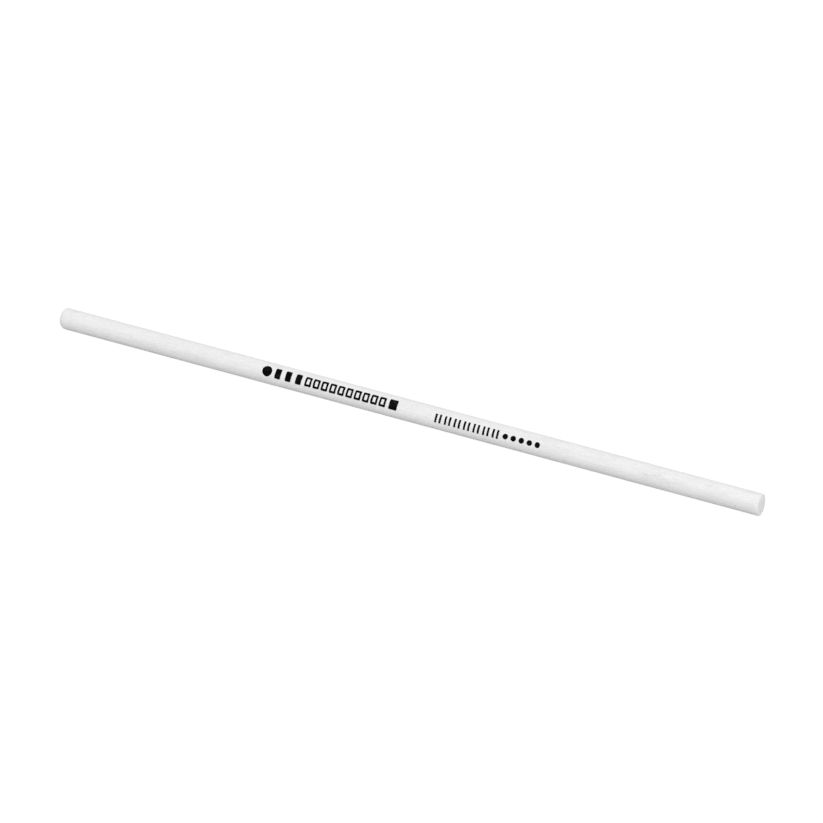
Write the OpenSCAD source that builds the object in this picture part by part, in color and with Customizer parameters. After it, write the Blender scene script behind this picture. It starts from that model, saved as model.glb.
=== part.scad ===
// Round ceramic-fibre sharpening stick with its printed legends.
// The stick lies along X, its axis through the origin; the bevelled end is at +X.
// All lengths are in millimetres.

/* [Stick] */

// diameter of the round stick
stick_d = 2.85; // [2:0.05:5]
// overall length of the stick
stick_l = 100; // [60:1:150]
// radius of the worn, rounded rim at the -X end
rounded_rim = 0.5; // [0.1:0.05:0.7]
// width of the small bevel on the rim at the +X end
bevelled_rim = 0.15; // [0.05:0.01:0.3]

/* [Print] */

// thickness of the dried ink
ink_t = 0.025; // [0.01:0.005:0.05]
// width of the thin printed lines
line_w = 0.29; // [0.1:0.01:0.3]
// angle of the mark row above level, on the -Y side
mark_turn = 45; // [0:1:90]
// angle of the code row above level, on the -Y side
code_turn = 36; // [0:1:90]
// where the mark row starts along the stick
mark_x = -19.7; // [-28:0.05:-18]
// where the code row starts along the stick
code_x = 5.2; // [2:0.1:8]
// height of the mark row
mark_h = 1.35; // [1:0.05:1.6]
// height of the code row
code_h = 1.15; // [0.8:0.05:1.4]

/* [Hidden] */

$fn = 96;
stick_r = stick_d / 2;
half_l = stick_l / 2;
corner = 0.15;              // corner radius of the printed shapes
block_w = 0.85;             // width of one solid block
block_step = 1.5;           // from one block to the next
box_w = 0.95;               // width of one open box
box_h = mark_h * 0.93;      // height of one open box
box_step = 1.19;            // from one box to the next
end_w = 1.2;                // width of the end bar
bar_w = line_w;             // width of one upright bar
bar_gap = 0.6;              // from one bar of a pair to the other
pair_step = 1.35;           // from one pair of bars to the next
dot_d = 0.75;               // diameter of one dot
dot_step = 1.12;            // from one dot to the next

// ---- shared shapes ----

// a solid bar with rounded corners, centred on the origin
module round_bar(w, h, r) {
    square([w, h - 2 * r], center = true);
    square([w - 2 * r, h], center = true);
    for (sx = [-1, 1], sy = [-1, 1])
        translate([sx * (w / 2 - r), sy * (h / 2 - r)]) circle(r = r);
}

// a flat shape laid on the stick's round wall as a film of ink, turned up from level
module printed(turn) {
    intersection() {
        rotate([0, 90, 0]) difference() {
            cylinder(r = stick_r + ink_t, h = stick_l - 4, center = true);
            cylinder(r = stick_r, h = stick_l, center = true);
        }
        rotate([90 - turn, 0, 0]) linear_extrude(stick_d) children();
    }
}

// ---- sub-parts ----

// the fired stick itself: a rounded rim at -X, a bevelled rim at +X
module stone_stick() {
    color([0.92, 0.92, 0.91]) rotate([0, 90, 0]) rotate_extrude() {
        polygon([[0, rounded_rim - half_l], [stick_r, rounded_rim - half_l],
                 [stick_r, half_l - bevelled_rim], [stick_r - bevelled_rim, half_l], [0, half_l]]);
        translate([0, -half_l]) square([stick_r - rounded_rim, rounded_rim]);
        translate([stick_r - rounded_rim, rounded_rim - half_l]) intersection() {
            circle(r = rounded_rim);
            translate([0, -rounded_rim]) square([rounded_rim, rounded_rim]);
        }
    }
}

// solid disc that starts the mark row
module print_disc() {
    color([0.05, 0.05, 0.05]) printed(mark_turn)
        translate([mark_x + 0.7, 0]) circle(d = 1.4);
}

// three solid blocks
module print_blocks() {
    color([0.05, 0.05, 0.05]) printed(mark_turn)
        for (i = [0:2]) translate([mark_x + 2.3 + i * block_step, 0])
            round_bar(block_w, mark_h, corner);
}

// ten open boxes
module print_boxes() {
    color([0.05, 0.05, 0.05]) printed(mark_turn)
        for (i = [0:9]) translate([mark_x + 6.7 + i * box_step, 0]) difference() {
            round_bar(box_w, box_h, corner);
            square([box_w - 2 * line_w, box_h - 2 * line_w], center = true);
        }
}

// solid bar that ends the mark row
module print_end_bar() {
    color([0.05, 0.05, 0.05]) printed(mark_turn)
        translate([mark_x + 18.95, 0]) round_bar(end_w, mark_h, corner);
}

// seven pairs of upright bars
module print_bars() {
    color([0.05, 0.05, 0.05]) printed(code_turn)
        for (i = [0:6], s = [0, 1]) translate([code_x + 0.2 + i * pair_step + s * bar_gap, 0])
            square([bar_w, code_h], center = true);
}

// five round dots
module print_dots() {
    color([0.05, 0.05, 0.05]) printed(code_turn)
        for (i = [0:4]) translate([code_x + 10 + i * dot_step, 0]) circle(d = dot_d);
}

// ---- output ----

stone_stick();
print_disc();
print_blocks();
print_boxes();
print_end_bar();
print_bars();
print_dots();
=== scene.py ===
"""A round white ceramic-fibre sharpening stick with its printed marks, lying on a pale floor."""
import math
import bmesh
import bpy
from mathutils import Matrix, Vector, noise


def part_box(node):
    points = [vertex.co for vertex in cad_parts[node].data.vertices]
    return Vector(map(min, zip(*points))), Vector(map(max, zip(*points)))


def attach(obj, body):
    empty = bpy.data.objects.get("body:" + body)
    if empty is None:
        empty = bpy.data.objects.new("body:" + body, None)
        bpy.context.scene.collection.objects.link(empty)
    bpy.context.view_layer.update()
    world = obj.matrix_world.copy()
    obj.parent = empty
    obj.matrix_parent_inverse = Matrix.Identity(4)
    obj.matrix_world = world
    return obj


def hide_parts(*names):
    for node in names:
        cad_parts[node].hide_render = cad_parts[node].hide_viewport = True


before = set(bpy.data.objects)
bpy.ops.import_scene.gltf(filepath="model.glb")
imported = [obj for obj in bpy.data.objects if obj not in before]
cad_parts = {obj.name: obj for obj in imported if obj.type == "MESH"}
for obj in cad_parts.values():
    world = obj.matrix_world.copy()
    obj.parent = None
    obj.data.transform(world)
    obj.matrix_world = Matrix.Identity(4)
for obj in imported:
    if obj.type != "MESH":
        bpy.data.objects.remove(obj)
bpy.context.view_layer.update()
noise.seed_set(5)   # or the ink's uneven edges would come out a little different on each run

MM = 0.001

# ---- sizes, from the CAD nodes ----

stone_low, stone_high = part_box("stone_stick")
half_length = stone_high[0]
radius = stone_high[2]
floor_height = stone_low[2]


def on_wall(x, turn, stretch):
    """A point on the stick's wall: millimetres along, degrees above level on the -Y side. Its place
    along is then multiplied by stretch."""
    rise = math.radians(turn)
    return (x * MM * stretch, -radius * math.cos(rise), radius * math.sin(rise))


# ---- camera ----

AZIMUTH, ELEVATION = math.radians(25.42), math.radians(34.39)
DISTANCE, SIDEWAYS, UPWARDS = 574 * MM, 1.25 * MM, -0.38 * MM
LENS = 194.1


def place_camera():
    """The camera looks down the stick from its bevelled end, from the front and above."""
    back = Vector((math.sin(AZIMUTH) * math.cos(ELEVATION),
                   -math.cos(AZIMUTH) * math.cos(ELEVATION), math.sin(ELEVATION)))
    right = Vector((math.cos(AZIMUTH), math.sin(AZIMUTH), 0))
    up = back.cross(right)
    data = bpy.data.cameras.new("camera")
    data.sensor_width = 36
    data.lens = LENS
    data.clip_start = 0.01
    data.clip_end = 50
    camera = bpy.data.objects.new("camera", data)
    turn = Matrix((right, up, back)).transposed().to_4x4()
    camera.matrix_world = Matrix.Translation(back * DISTANCE + right * SIDEWAYS + up * UPWARDS) @ turn
    bpy.context.scene.collection.objects.link(camera)
    bpy.context.scene.camera = camera


# ---- materials ----

class Wire:
    """One value in a material. Sums of wires add the nodes that work them out."""

    def __init__(self, finish, socket):
        self.finish, self.socket = finish, socket

    def _sum(self, operation, first, second):
        return self.finish.add("ShaderNodeMath", {"operation": operation}, {0: first, 1: second})

    def __add__(self, other): return self._sum("ADD", self, other)
    def __radd__(self, other): return self._sum("ADD", other, self)
    def __sub__(self, other): return self._sum("SUBTRACT", self, other)
    def __mul__(self, other): return self._sum("MULTIPLY", self, other)
    def __rmul__(self, other): return self._sum("MULTIPLY", other, self)
    def __abs__(self): return self._sum("ABSOLUTE", self, 0)


class Finish:
    """A material and the nodes in it."""

    def __init__(self, name):
        self.material = bpy.data.materials.new(name)
        self.material.use_nodes = True
        self.tree = self.material.node_tree
        self.tree.nodes.clear()

    def add(self, kind, settings=None, values=None, output=0):
        """Adds a node: its settings first, then the values or wires of its sockets."""
        node = self.tree.nodes.new(kind)
        for name, value in (settings or {}).items():
            setattr(node, name, value)
        for name, value in (values or {}).items():
            if isinstance(value, Wire):
                self.tree.links.new(value.socket, node.inputs[name])
            else:
                node.inputs[name].default_value = value
        return Wire(self, node.outputs[output]) if node.outputs else None

    def place(self, scale=(1, 1, 1)):
        """Where a point is on the piece, in metres, times a scale along each axis."""
        here = self.add("ShaderNodeTexCoord", output="Object")
        return self.add("ShaderNodeMapping", None, {"Vector": here, "Scale": scale})

    def cloud(self, scale, detail=2.0, rough=0.5):
        """Soft noise, from 0 to 1, with that many waves to the metre along each axis."""
        return self.add("ShaderNodeTexNoise", None,
                        {"Vector": self.place(scale), "Scale": 1.0, "Detail": detail, "Roughness": rough})

    def cells(self, scale):
        """The distance to the nearest of many scattered points, that many to the metre."""
        return self.add("ShaderNodeTexVoronoi", {"feature": "F1"},
                        {"Vector": self.place(scale), "Scale": 1.0, "Randomness": 1.0})

    def spot(self, x, turn, stretch, core, edge, strength):
        """One spot on the wall, drawn out along the stick: full inside core, nothing beyond edge."""
        away = self.add("ShaderNodeVectorMath", {"operation": "DISTANCE"},
                        {0: self.place((stretch, 1, 1)), 1: on_wall(x, turn, stretch)}, "Value")
        return self.ease(away, core * MM, edge * MM, strength, 0.0)

    def ease(self, value, low, high, start=0.0, end=1.0):
        """start below low, end above high, and a smooth change between them."""
        return self.add("ShaderNodeMapRange", {"interpolation_type": "SMOOTHSTEP"},
                        {0: value, 1: low, 2: high, 3: start, 4: end})

    def blend(self, factor, first, second):
        """A colour between two others."""
        return self.add("ShaderNodeMix", {"data_type": "RGBA"}, {0: factor, 6: first, 7: second}, 2)

    def surface(self, colour, roughness, height, lift, values):
        """The finished surface: colour, roughness, and a relief of that many metres."""
        normal = self.add("ShaderNodeBump", None, {"Strength": 1.0, "Distance": lift, "Height": height})
        sockets = {"Base Color": colour, "Roughness": roughness, "Normal": normal}
        sockets.update(values)
        shader = self.add("ShaderNodeBsdfPrincipled", None, sockets)
        self.add("ShaderNodeOutputMaterial", None, {"Surface": shader})
        return self.material


def grey(shade, warm=0.0):
    """A neutral colour, or a slightly warm one."""
    return (shade, shade * (1 - 0.5 * warm), shade * (1 - warm), 1)


FIBRES = (650, 5600, 5600)      # the grain runs along the stick
SPECKS = ((47.0, -5.5), (23.6, -8.5))     # these two lists: millimetres along, degrees above level
SMEARS = ((34.5, 35), (34.9, 34), (35.5, 39), (36.0, 43), (36.5, 48), (37.3, 36), (37.9, 24),
          (38.7, 29), (43.1, 64))
WALL_DARK, WALL_LIGHT, STAIN = 0.720, 0.828, 0.62
FACE_DARK, FACE_LIGHT = 0.76, 0.87
FACE_STARTS, FACE_FULL = 0.22 * MM, 0.14 * MM


def stone_finish():
    """Fired ceramic fibre: fibres along the stick, mottled tone, sawn ends, a few dark pores (SPECKS)
    and grey marks of handling (SMEARS)."""
    f = Finish("fired_ceramic_fibre")
    fibres = f.cloud(FIBRES, 3.0, 0.6)
    strands = f.cloud((240, 2100, 2100), 2.0, 0.5)
    mottle = f.cloud((3000, 4200, 4200), 3.0, 0.65)
    clouds = f.cloud((260, 620, 620), 3.0, 0.55)
    grain = f.cloud((11000, 11000, 11000), 2.0, 0.6)
    along = f.add("ShaderNodeSeparateXYZ", None, {"Vector": f.place()}, "X")
    cut = f.ease(abs(along), half_length - FACE_STARTS, half_length - FACE_FULL)

    seldom = f.ease(f.cloud((130, 420, 420), 1.0, 0.5), 0.62, 0.70)
    pore = f.ease(f.cells((900, 1700, 1700)), 0.05, 0.12, 1.0, 0.0) * seldom
    for x, turn in SPECKS:
        pore = pore + f.spot(x, turn, 0.6, 0.04, 0.10, 1.0)
    broken = f.ease(mottle, 0.38, 0.60, 1.0, 0.5)
    smear = f.ease(f.cloud((420, 1500, 1500), 2.0, 0.5), 0.66, 0.78) * 0.25
    for x, turn in SMEARS:
        smear = smear + f.spot(x, turn, 0.35, 0.04, 0.20, 0.6) * broken

    tone = f.ease(fibres * 0.30 + strands * 0.14 + mottle * 0.40 + clouds * 0.16, 0.36, 0.64)
    stained = f.blend(smear, f.blend(tone, grey(WALL_DARK), grey(WALL_LIGHT)), grey(STAIN))
    sawn = f.ease(f.cloud((3000, 6000, 6000), 3.0, 0.7), 0.35, 0.65)
    clean = f.blend(cut, stained, f.blend(sawn, grey(FACE_DARK), grey(FACE_LIGHT)))
    colour = f.blend(pore * 0.6, clean, grey(0.42, 0.1))
    rough = 0.62 + 0.18 * (fibres - 0.5) + 0.12 * (grain - 0.5) + 0.1 * cut
    height = 0.45 * fibres + 0.25 * strands + 0.55 * mottle + 0.2 * grain - 0.9 * pore
    return f.surface(colour, rough, height, 0.018 * MM, {"IOR": 1.45, "Specular IOR Level": 0.35})


def ink_finish():
    """Dried black stamping ink, a little uneven, with the stone showing through its pinholes."""
    f = Finish("dried_stamp_ink")
    patches = f.cloud((900, 1500, 1500), 3.0, 0.55)
    grain = f.cloud((9000, 9000, 9000), 2.0, 0.6)
    fibres = f.cloud(FIBRES, 3.0, 0.6)
    pinhole = f.ease(f.cells((5000, 6500, 6500)), 0.10, 0.20, 1.0, 0.0) * f.ease(patches, 0.56, 0.66)
    black = f.blend(f.ease(patches, 0.35, 0.7), grey(0.001), grey(0.006))
    colour = f.blend(pinhole * 0.6, black, grey(0.35))
    rough = 0.55 + 0.2 * (patches - 0.5) + 0.1 * pinhole
    height = 0.4 * grain + 0.4 * fibres + 0.2 * patches - 0.5 * pinhole
    return f.surface(colour, rough, height, 0.006 * MM, {"IOR": 1.5, "Specular IOR Level": 0.03})


PAPER_GLOW, PAPER_SHADE = 0.97, 0.05
BOUNCE = 0.54


def paper_finish():
    """Bright white paper that keeps only a faint contact shadow."""
    f = Finish("white_paper")
    glow = f.add("ShaderNodeEmission", None, {"Color": grey(1.0), "Strength": PAPER_GLOW})
    matt = f.add("ShaderNodeBsdfDiffuse", None, {"Color": grey(PAPER_SHADE)})
    both = f.add("ShaderNodeAddShader", None, {0: glow, 1: matt})
    f.add("ShaderNodeOutputMaterial", None, {"Surface": both})
    return f.material


def bounce_finish():
    """The tone of the light that the floor throws back up at the stick."""
    f = Finish("floor_bounce")
    matt = f.add("ShaderNodeBsdfDiffuse", None, {"Color": grey(BOUNCE)})
    f.add("ShaderNodeOutputMaterial", None, {"Surface": matt})
    return f.material


# ---- the stick's own surface ----

ROUNDED, BEVELLED = 0.50 * MM, 0.26 * MM
CROWN, CROWN_REACH = 0.17 * MM, 2.0 * MM
CRISP, WORN_TOWARDS = 0.15, math.radians(130)
REMOVED, REMOVED_REACH, REMOVED_TOWARDS = 0.22 * MM, 0.9 * MM, math.radians(200)
CRUMB_REACH = 0.25 * MM
SWELLS = (      # millimetres from crest to crest, shift along, waves round, millimetres high
    (14, 0, 1, 0.006),
    (5, 31, 6, 0.004),
    (2.2, 77, 13, 0.003),
)


def towards(angle, middle):
    """1 at the middle angle, falling off to 0 a quarter turn away."""
    return max(0.0, math.cos(angle - middle)) ** 2


def swell(x, angle):
    """How far the wall stands off a perfect cylinder, in metres, at a place and an angle round."""
    y, z = math.cos(angle), math.sin(angle)
    return sum(height * noise.noise(Vector((x / (length * MM) + shift, y * waves, z * waves)))
               for length, shift, waves, height in SWELLS) * MM


def wear(x, angle):
    """Rim worn away by use at the rounded end, low on the front, as a depth in metres."""
    nearness = max(0.0, 1 - (x + half_length) / REMOVED_REACH)
    return REMOVED * towards(angle, REMOVED_TOWARDS) * nearness ** 2


def square_up(x, off_axis, angle):
    """The bevelled end's rim is worn round on its upper front and still crisp elsewhere; its face falls
    away slightly towards the top. Gives the new place along and the new distance off the axis."""
    depth, drop = half_length - x, radius - off_axis
    if depth > CROWN_REACH:
        return x, off_axis
    kept = CRISP + (1 - CRISP) * towards(angle, WORN_TOWARDS)
    if max(depth, drop) < BEVELLED + 0.01 * MM:
        depth, drop = depth * kept, drop * kept
    lean = 0.5 + 0.5 * math.sin(angle)
    crown = CROWN * lean * ((radius - drop) / radius) ** 2 * (1 - depth / CROWN_REACH)
    return half_length - depth - crown, radius - drop


def chip(x, angle):
    """Tiny crumbs missing from the sawn rims, as a depth in metres."""
    nearness = max(0.0, 1 - abs(abs(x) - half_length) / CRUMB_REACH)
    bite = noise.noise(Vector((math.cos(angle) * 5 + 9, math.sin(angle) * 5, x / (0.4 * MM))))
    crumb = noise.noise(Vector((math.cos(angle) * 14, math.sin(angle) * 14 + 4, x / (0.2 * MM))))
    return nearness * (0.04 * max(0.0, bite - 0.1) + 0.024 * max(0.0, crumb - 0.1)) * MM


def finish_piece(mesh, name, material, node):
    """Turns a bmesh into a piece that rides on the stick and stands for its CAD node."""
    bmesh.ops.remove_doubles(mesh, verts=mesh.verts, dist=0.0005 * MM)
    bmesh.ops.recalc_face_normals(mesh, faces=mesh.faces)
    data = bpy.data.meshes.new(name)
    for face in mesh.faces:
        face.smooth = True
    mesh.to_mesh(data)
    mesh.free()
    data.materials.append(material)
    piece = bpy.data.objects.new(name, data)
    bpy.context.scene.collection.objects.link(piece)
    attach(piece, "root")
    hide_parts(node)


STEPS_ROUND = 176
WALL_CUTS, FACE_CUTS = 449, 11


def make_stick(material):
    """The stick: half an outline with a rounded and a bevelled rim, spun about its axis."""
    mesh = bmesh.new()
    corners = [mesh.verts.new(place) for place in (
        (-half_length, 0, 0), (-half_length, 0, radius), (half_length, 0, radius), (half_length, 0, 0))]
    for first, second in zip(corners, corners[1:]):
        mesh.edges.new((first, second))
    bmesh.ops.bevel(mesh, geom=[corners[1]], offset=ROUNDED, affect="VERTICES", segments=10,
                    profile=0.5, material=-1)
    bmesh.ops.bevel(mesh, geom=[corners[2]], offset=BEVELLED, affect="VERTICES", segments=8,
                    profile=0.5, material=-1)
    for longer_than, cuts in ((10 * MM, WALL_CUTS), (1.0 * MM, FACE_CUTS)):
        edges = [edge for edge in mesh.edges if edge.calc_length() > longer_than]
        bmesh.ops.subdivide_edges(mesh, edges=edges, cuts=cuts)
    bmesh.ops.spin(mesh, geom=list(mesh.verts) + list(mesh.edges), cent=(0, 0, 0), axis=(1, 0, 0),
                   angle=2 * math.pi, steps=STEPS_ROUND, use_merge=True)
    bmesh.ops.remove_doubles(mesh, verts=mesh.verts, dist=0.001 * MM)
    for vertex in mesh.verts:
        x, y, z = vertex.co
        off_axis = math.hypot(y, z)
        if off_axis < 0.02 * MM:    # the middle of an end face
            continue
        angle = math.atan2(z, y)
        along, out = square_up(x, off_axis, angle)
        share = (out / radius) ** 4
        grown = out + share * (swell(along, angle) - chip(along, angle) - wear(along, angle))
        vertex.co = (along, y * grown / off_axis, z * grown / off_axis)
    finish_piece(mesh, "stone_stick_body", material, "stone_stick")


# ---- the printed marks ----

# Millimetres, as laid flat before they are wrapped round the wall.
MARK_TURN, CODE_TURN = math.radians(45), math.radians(36)
MARK_START, CODE_START = -19.7, 5.2
MARK_HEIGHT, CODE_HEIGHT = 1.35, 1.15
LINE, CORNER = 0.29, 0.15
DISC_ACROSS = 1.4
BLOCK_FIRST, BLOCK_STEP, BLOCK_WIDTH = 2.3, 1.5, 0.85
BOX_FIRST, BOX_STEP, BOX_WIDTH, BOX_HEIGHT = 6.7, 1.19, 0.95, MARK_HEIGHT * 0.93
END_BAR_PLACE, END_BAR_WIDTH = 18.95, 1.2
BAR_FIRST, PAIR_STEP, BAR_GAP = 0.2, 1.35, 0.6
DOT_FIRST, DOT_STEP, DOT_ACROSS = 10, 1.12, 0.75
INK_CUT = 0.075                 # the size of the squares that let the ink bend
INK_UNDER, INK_RIM, INK_TOP = -0.004, 0.004, 0.012


def flat_bar(mesh, x, width, height, corner):
    """A flat bar with rounded corners, centred at x. Millimetres."""
    place = Matrix.Translation((x, 0, 0)) @ Matrix.Diagonal((width, height, 1, 1))
    made = bmesh.ops.create_grid(mesh, x_segments=1, y_segments=1, size=0.5, matrix=place)
    if corner:
        bmesh.ops.bevel(mesh, geom=made["verts"], offset=corner, affect="VERTICES", segments=5,
                        profile=0.5, material=-1)


def flat_box(mesh, x, width, height):
    """An open box with slightly rounded outer corners, centred at x. Millimetres."""
    before = set(mesh.faces)
    flat_bar(mesh, x, width, height, CORNER)
    outline = [face for face in mesh.faces if face not in before]
    bmesh.ops.inset_region(mesh, faces=outline, thickness=LINE, use_even_offset=True, use_boundary=True)
    bmesh.ops.delete(mesh, geom=outline, context="FACES")


def flat_disc(mesh, x, across):
    """A flat disc, centred at x. Millimetres."""
    bmesh.ops.create_circle(mesh, cap_ends=True, radius=across / 2, segments=48,
                            matrix=Matrix.Translation((x, 0, 0)))


def lay_ink(mesh, turn, name, material, node):
    """Cuts the flat shapes fine, gives them the ink's thickness and lays them on the wall."""
    xs = [v.co.x for v in mesh.verts]
    ys = [v.co.y for v in mesh.verts]
    for axis, low, high in ((0, min(xs), max(xs)), (1, min(ys), max(ys))):
        across = Vector((axis == 0, axis == 1, 0))
        for i in range(1, int((high - low) / INK_CUT)):
            bmesh.ops.bisect_plane(mesh, geom=mesh.verts[:] + mesh.edges[:] + mesh.faces[:], dist=1e-5,
                                   plane_co=across * (low + i * INK_CUT), plane_no=across)
    rims = {(round(v.co.x, 4), round(v.co.y, 4)) for v in mesh.verts if v.is_boundary}
    top = bmesh.ops.extrude_face_region(mesh, geom=mesh.faces[:], use_keep_orig=True)
    top = {part for part in top["geom"] if isinstance(part, bmesh.types.BMVert)}
    for vertex in mesh.verts:
        x, y = vertex.co.x, vertex.co.y
        thick = INK_UNDER
        if vertex in top:
            thick = INK_RIM if (round(x, 4), round(y, 4)) in rims else INK_TOP
        bleed = noise.noise_vector(Vector((x * 7, y * 7, 3))) * 0.012
        spread = noise.noise_vector(Vector((x * 1.6, y * 1.6, 8))) * 0.02
        x, y = x + bleed.x + spread.x, y + bleed.y + spread.y
        rise = turn + math.asin(y * MM / radius)
        angle = math.pi - rise
        off_axis = radius + swell(x * MM, angle) + thick * MM
        vertex.co = (x * MM, -off_axis * math.cos(rise), off_axis * math.sin(rise))
    finish_piece(mesh, name, material, node)


def make_marks(ink):
    """The mark row and the code row, as plain shapes."""
    disc = bmesh.new()
    flat_disc(disc, MARK_START + DISC_ACROSS / 2, DISC_ACROSS)
    lay_ink(disc, MARK_TURN, "print_disc_ink", ink, "print_disc")

    blocks = bmesh.new()
    for i in range(3):
        flat_bar(blocks, MARK_START + BLOCK_FIRST + i * BLOCK_STEP, BLOCK_WIDTH, MARK_HEIGHT, CORNER)
    lay_ink(blocks, MARK_TURN, "print_blocks_ink", ink, "print_blocks")

    boxes = bmesh.new()
    for i in range(10):
        flat_box(boxes, MARK_START + BOX_FIRST + i * BOX_STEP, BOX_WIDTH, BOX_HEIGHT)
    lay_ink(boxes, MARK_TURN, "print_boxes_ink", ink, "print_boxes")

    end_bar = bmesh.new()
    flat_bar(end_bar, MARK_START + END_BAR_PLACE, END_BAR_WIDTH, MARK_HEIGHT, CORNER)
    lay_ink(end_bar, MARK_TURN, "print_end_bar_ink", ink, "print_end_bar")

    bars = bmesh.new()
    for i in range(7):
        for side in (0, 1):
            x = CODE_START + BAR_FIRST + i * PAIR_STEP + side * BAR_GAP
            flat_bar(bars, x, LINE, CODE_HEIGHT, 0)
    lay_ink(bars, CODE_TURN, "print_bars_ink", ink, "print_bars")

    dots = bmesh.new()
    for i in range(5):
        flat_disc(dots, CODE_START + DOT_FIRST + i * DOT_STEP, DOT_ACROSS)
    lay_ink(dots, CODE_TURN, "print_dots_ink", ink, "print_dots")


# ---- floor and light ----

PAPER_OUT, PAPER_RISE, PAPER_BEND = 2.0, 2.0, 0.6
BOUNCE_OUT = 5.0
ROOM = 0.848
LIGHTS = (                      # name, place, size across, watts
    ("front_softbox", (0.25, -0.50, 0.60), 0.4, 1.68),
    ("top_softbox", (0.15, -0.35, 0.75), 0.4, 0.35),
    ("end_softbox", (0.75, -0.10, 0.30), 0.4, 0.33),
)


def make_sheet(name, outline, material):
    """A round sheet, from its outline as distances out and heights. Metres."""
    mesh = bmesh.new()
    rim = [mesh.verts.new((out, 0, height)) for out, height in outline]
    for first, second in zip(rim, rim[1:]):
        mesh.edges.new((first, second))
    bmesh.ops.bevel(mesh, geom=rim[1:-1], offset=PAPER_BEND, affect="VERTICES", segments=12,
                    profile=0.5, material=-1)
    bmesh.ops.spin(mesh, geom=mesh.verts[:] + mesh.edges[:], cent=(0, 0, 0), axis=(0, 0, 1),
                   angle=2 * math.pi, steps=64, use_merge=True)
    bmesh.ops.remove_doubles(mesh, verts=mesh.verts, dist=0.1 * MM)
    bmesh.ops.recalc_face_normals(mesh, faces=mesh.faces)
    data = bpy.data.meshes.new(name)
    for face in mesh.faces:
        face.smooth = True
    mesh.to_mesh(data)
    mesh.free()
    data.materials.append(material)
    sheet = bpy.data.objects.new(name, data)
    bpy.context.scene.collection.objects.link(sheet)
    return sheet


def make_floor():
    """White paper for the eye, and just under it the sheet that throws light back at the stick."""
    bowl = ((0, floor_height), (PAPER_OUT, floor_height),
            (PAPER_OUT + PAPER_BEND, floor_height + PAPER_RISE))
    paper = make_sheet("paper_floor", bowl, paper_finish())
    paper.visible_diffuse = paper.visible_glossy = paper.visible_shadow = False
    under = floor_height - 0.02 * MM
    bounce = make_sheet("bounce_floor", ((0, under), (BOUNCE_OUT, under)), bounce_finish())
    bounce.visible_camera = False


def soft_light(name, place, across, power):
    """A square soft light that faces the stick."""
    data = bpy.data.lights.new(name, "AREA")
    data.shape, data.size, data.energy = "SQUARE", across, power
    light = bpy.data.objects.new(name, data)
    light.location = place
    light.rotation_euler = Vector(place).to_track_quat("Z", "Y").to_euler()
    bpy.context.scene.collection.objects.link(light)


def light_scene():
    """A white room and soft lights."""
    world = bpy.data.worlds.new("white_room")
    world.use_nodes = True
    background = world.node_tree.nodes["Background"]
    background.inputs["Color"].default_value = (1, 1, 1, 1)
    background.inputs["Strength"].default_value = ROOM
    bpy.context.scene.world = world
    for name, place, across, power in LIGHTS:
        soft_light(name, place, across, power)
    bpy.context.scene.view_settings.view_transform = "Standard"
    bpy.context.scene.view_settings.look = "None"


place_camera()
make_floor()
light_scene()
make_stick(stone_finish())
make_marks(ink_finish())
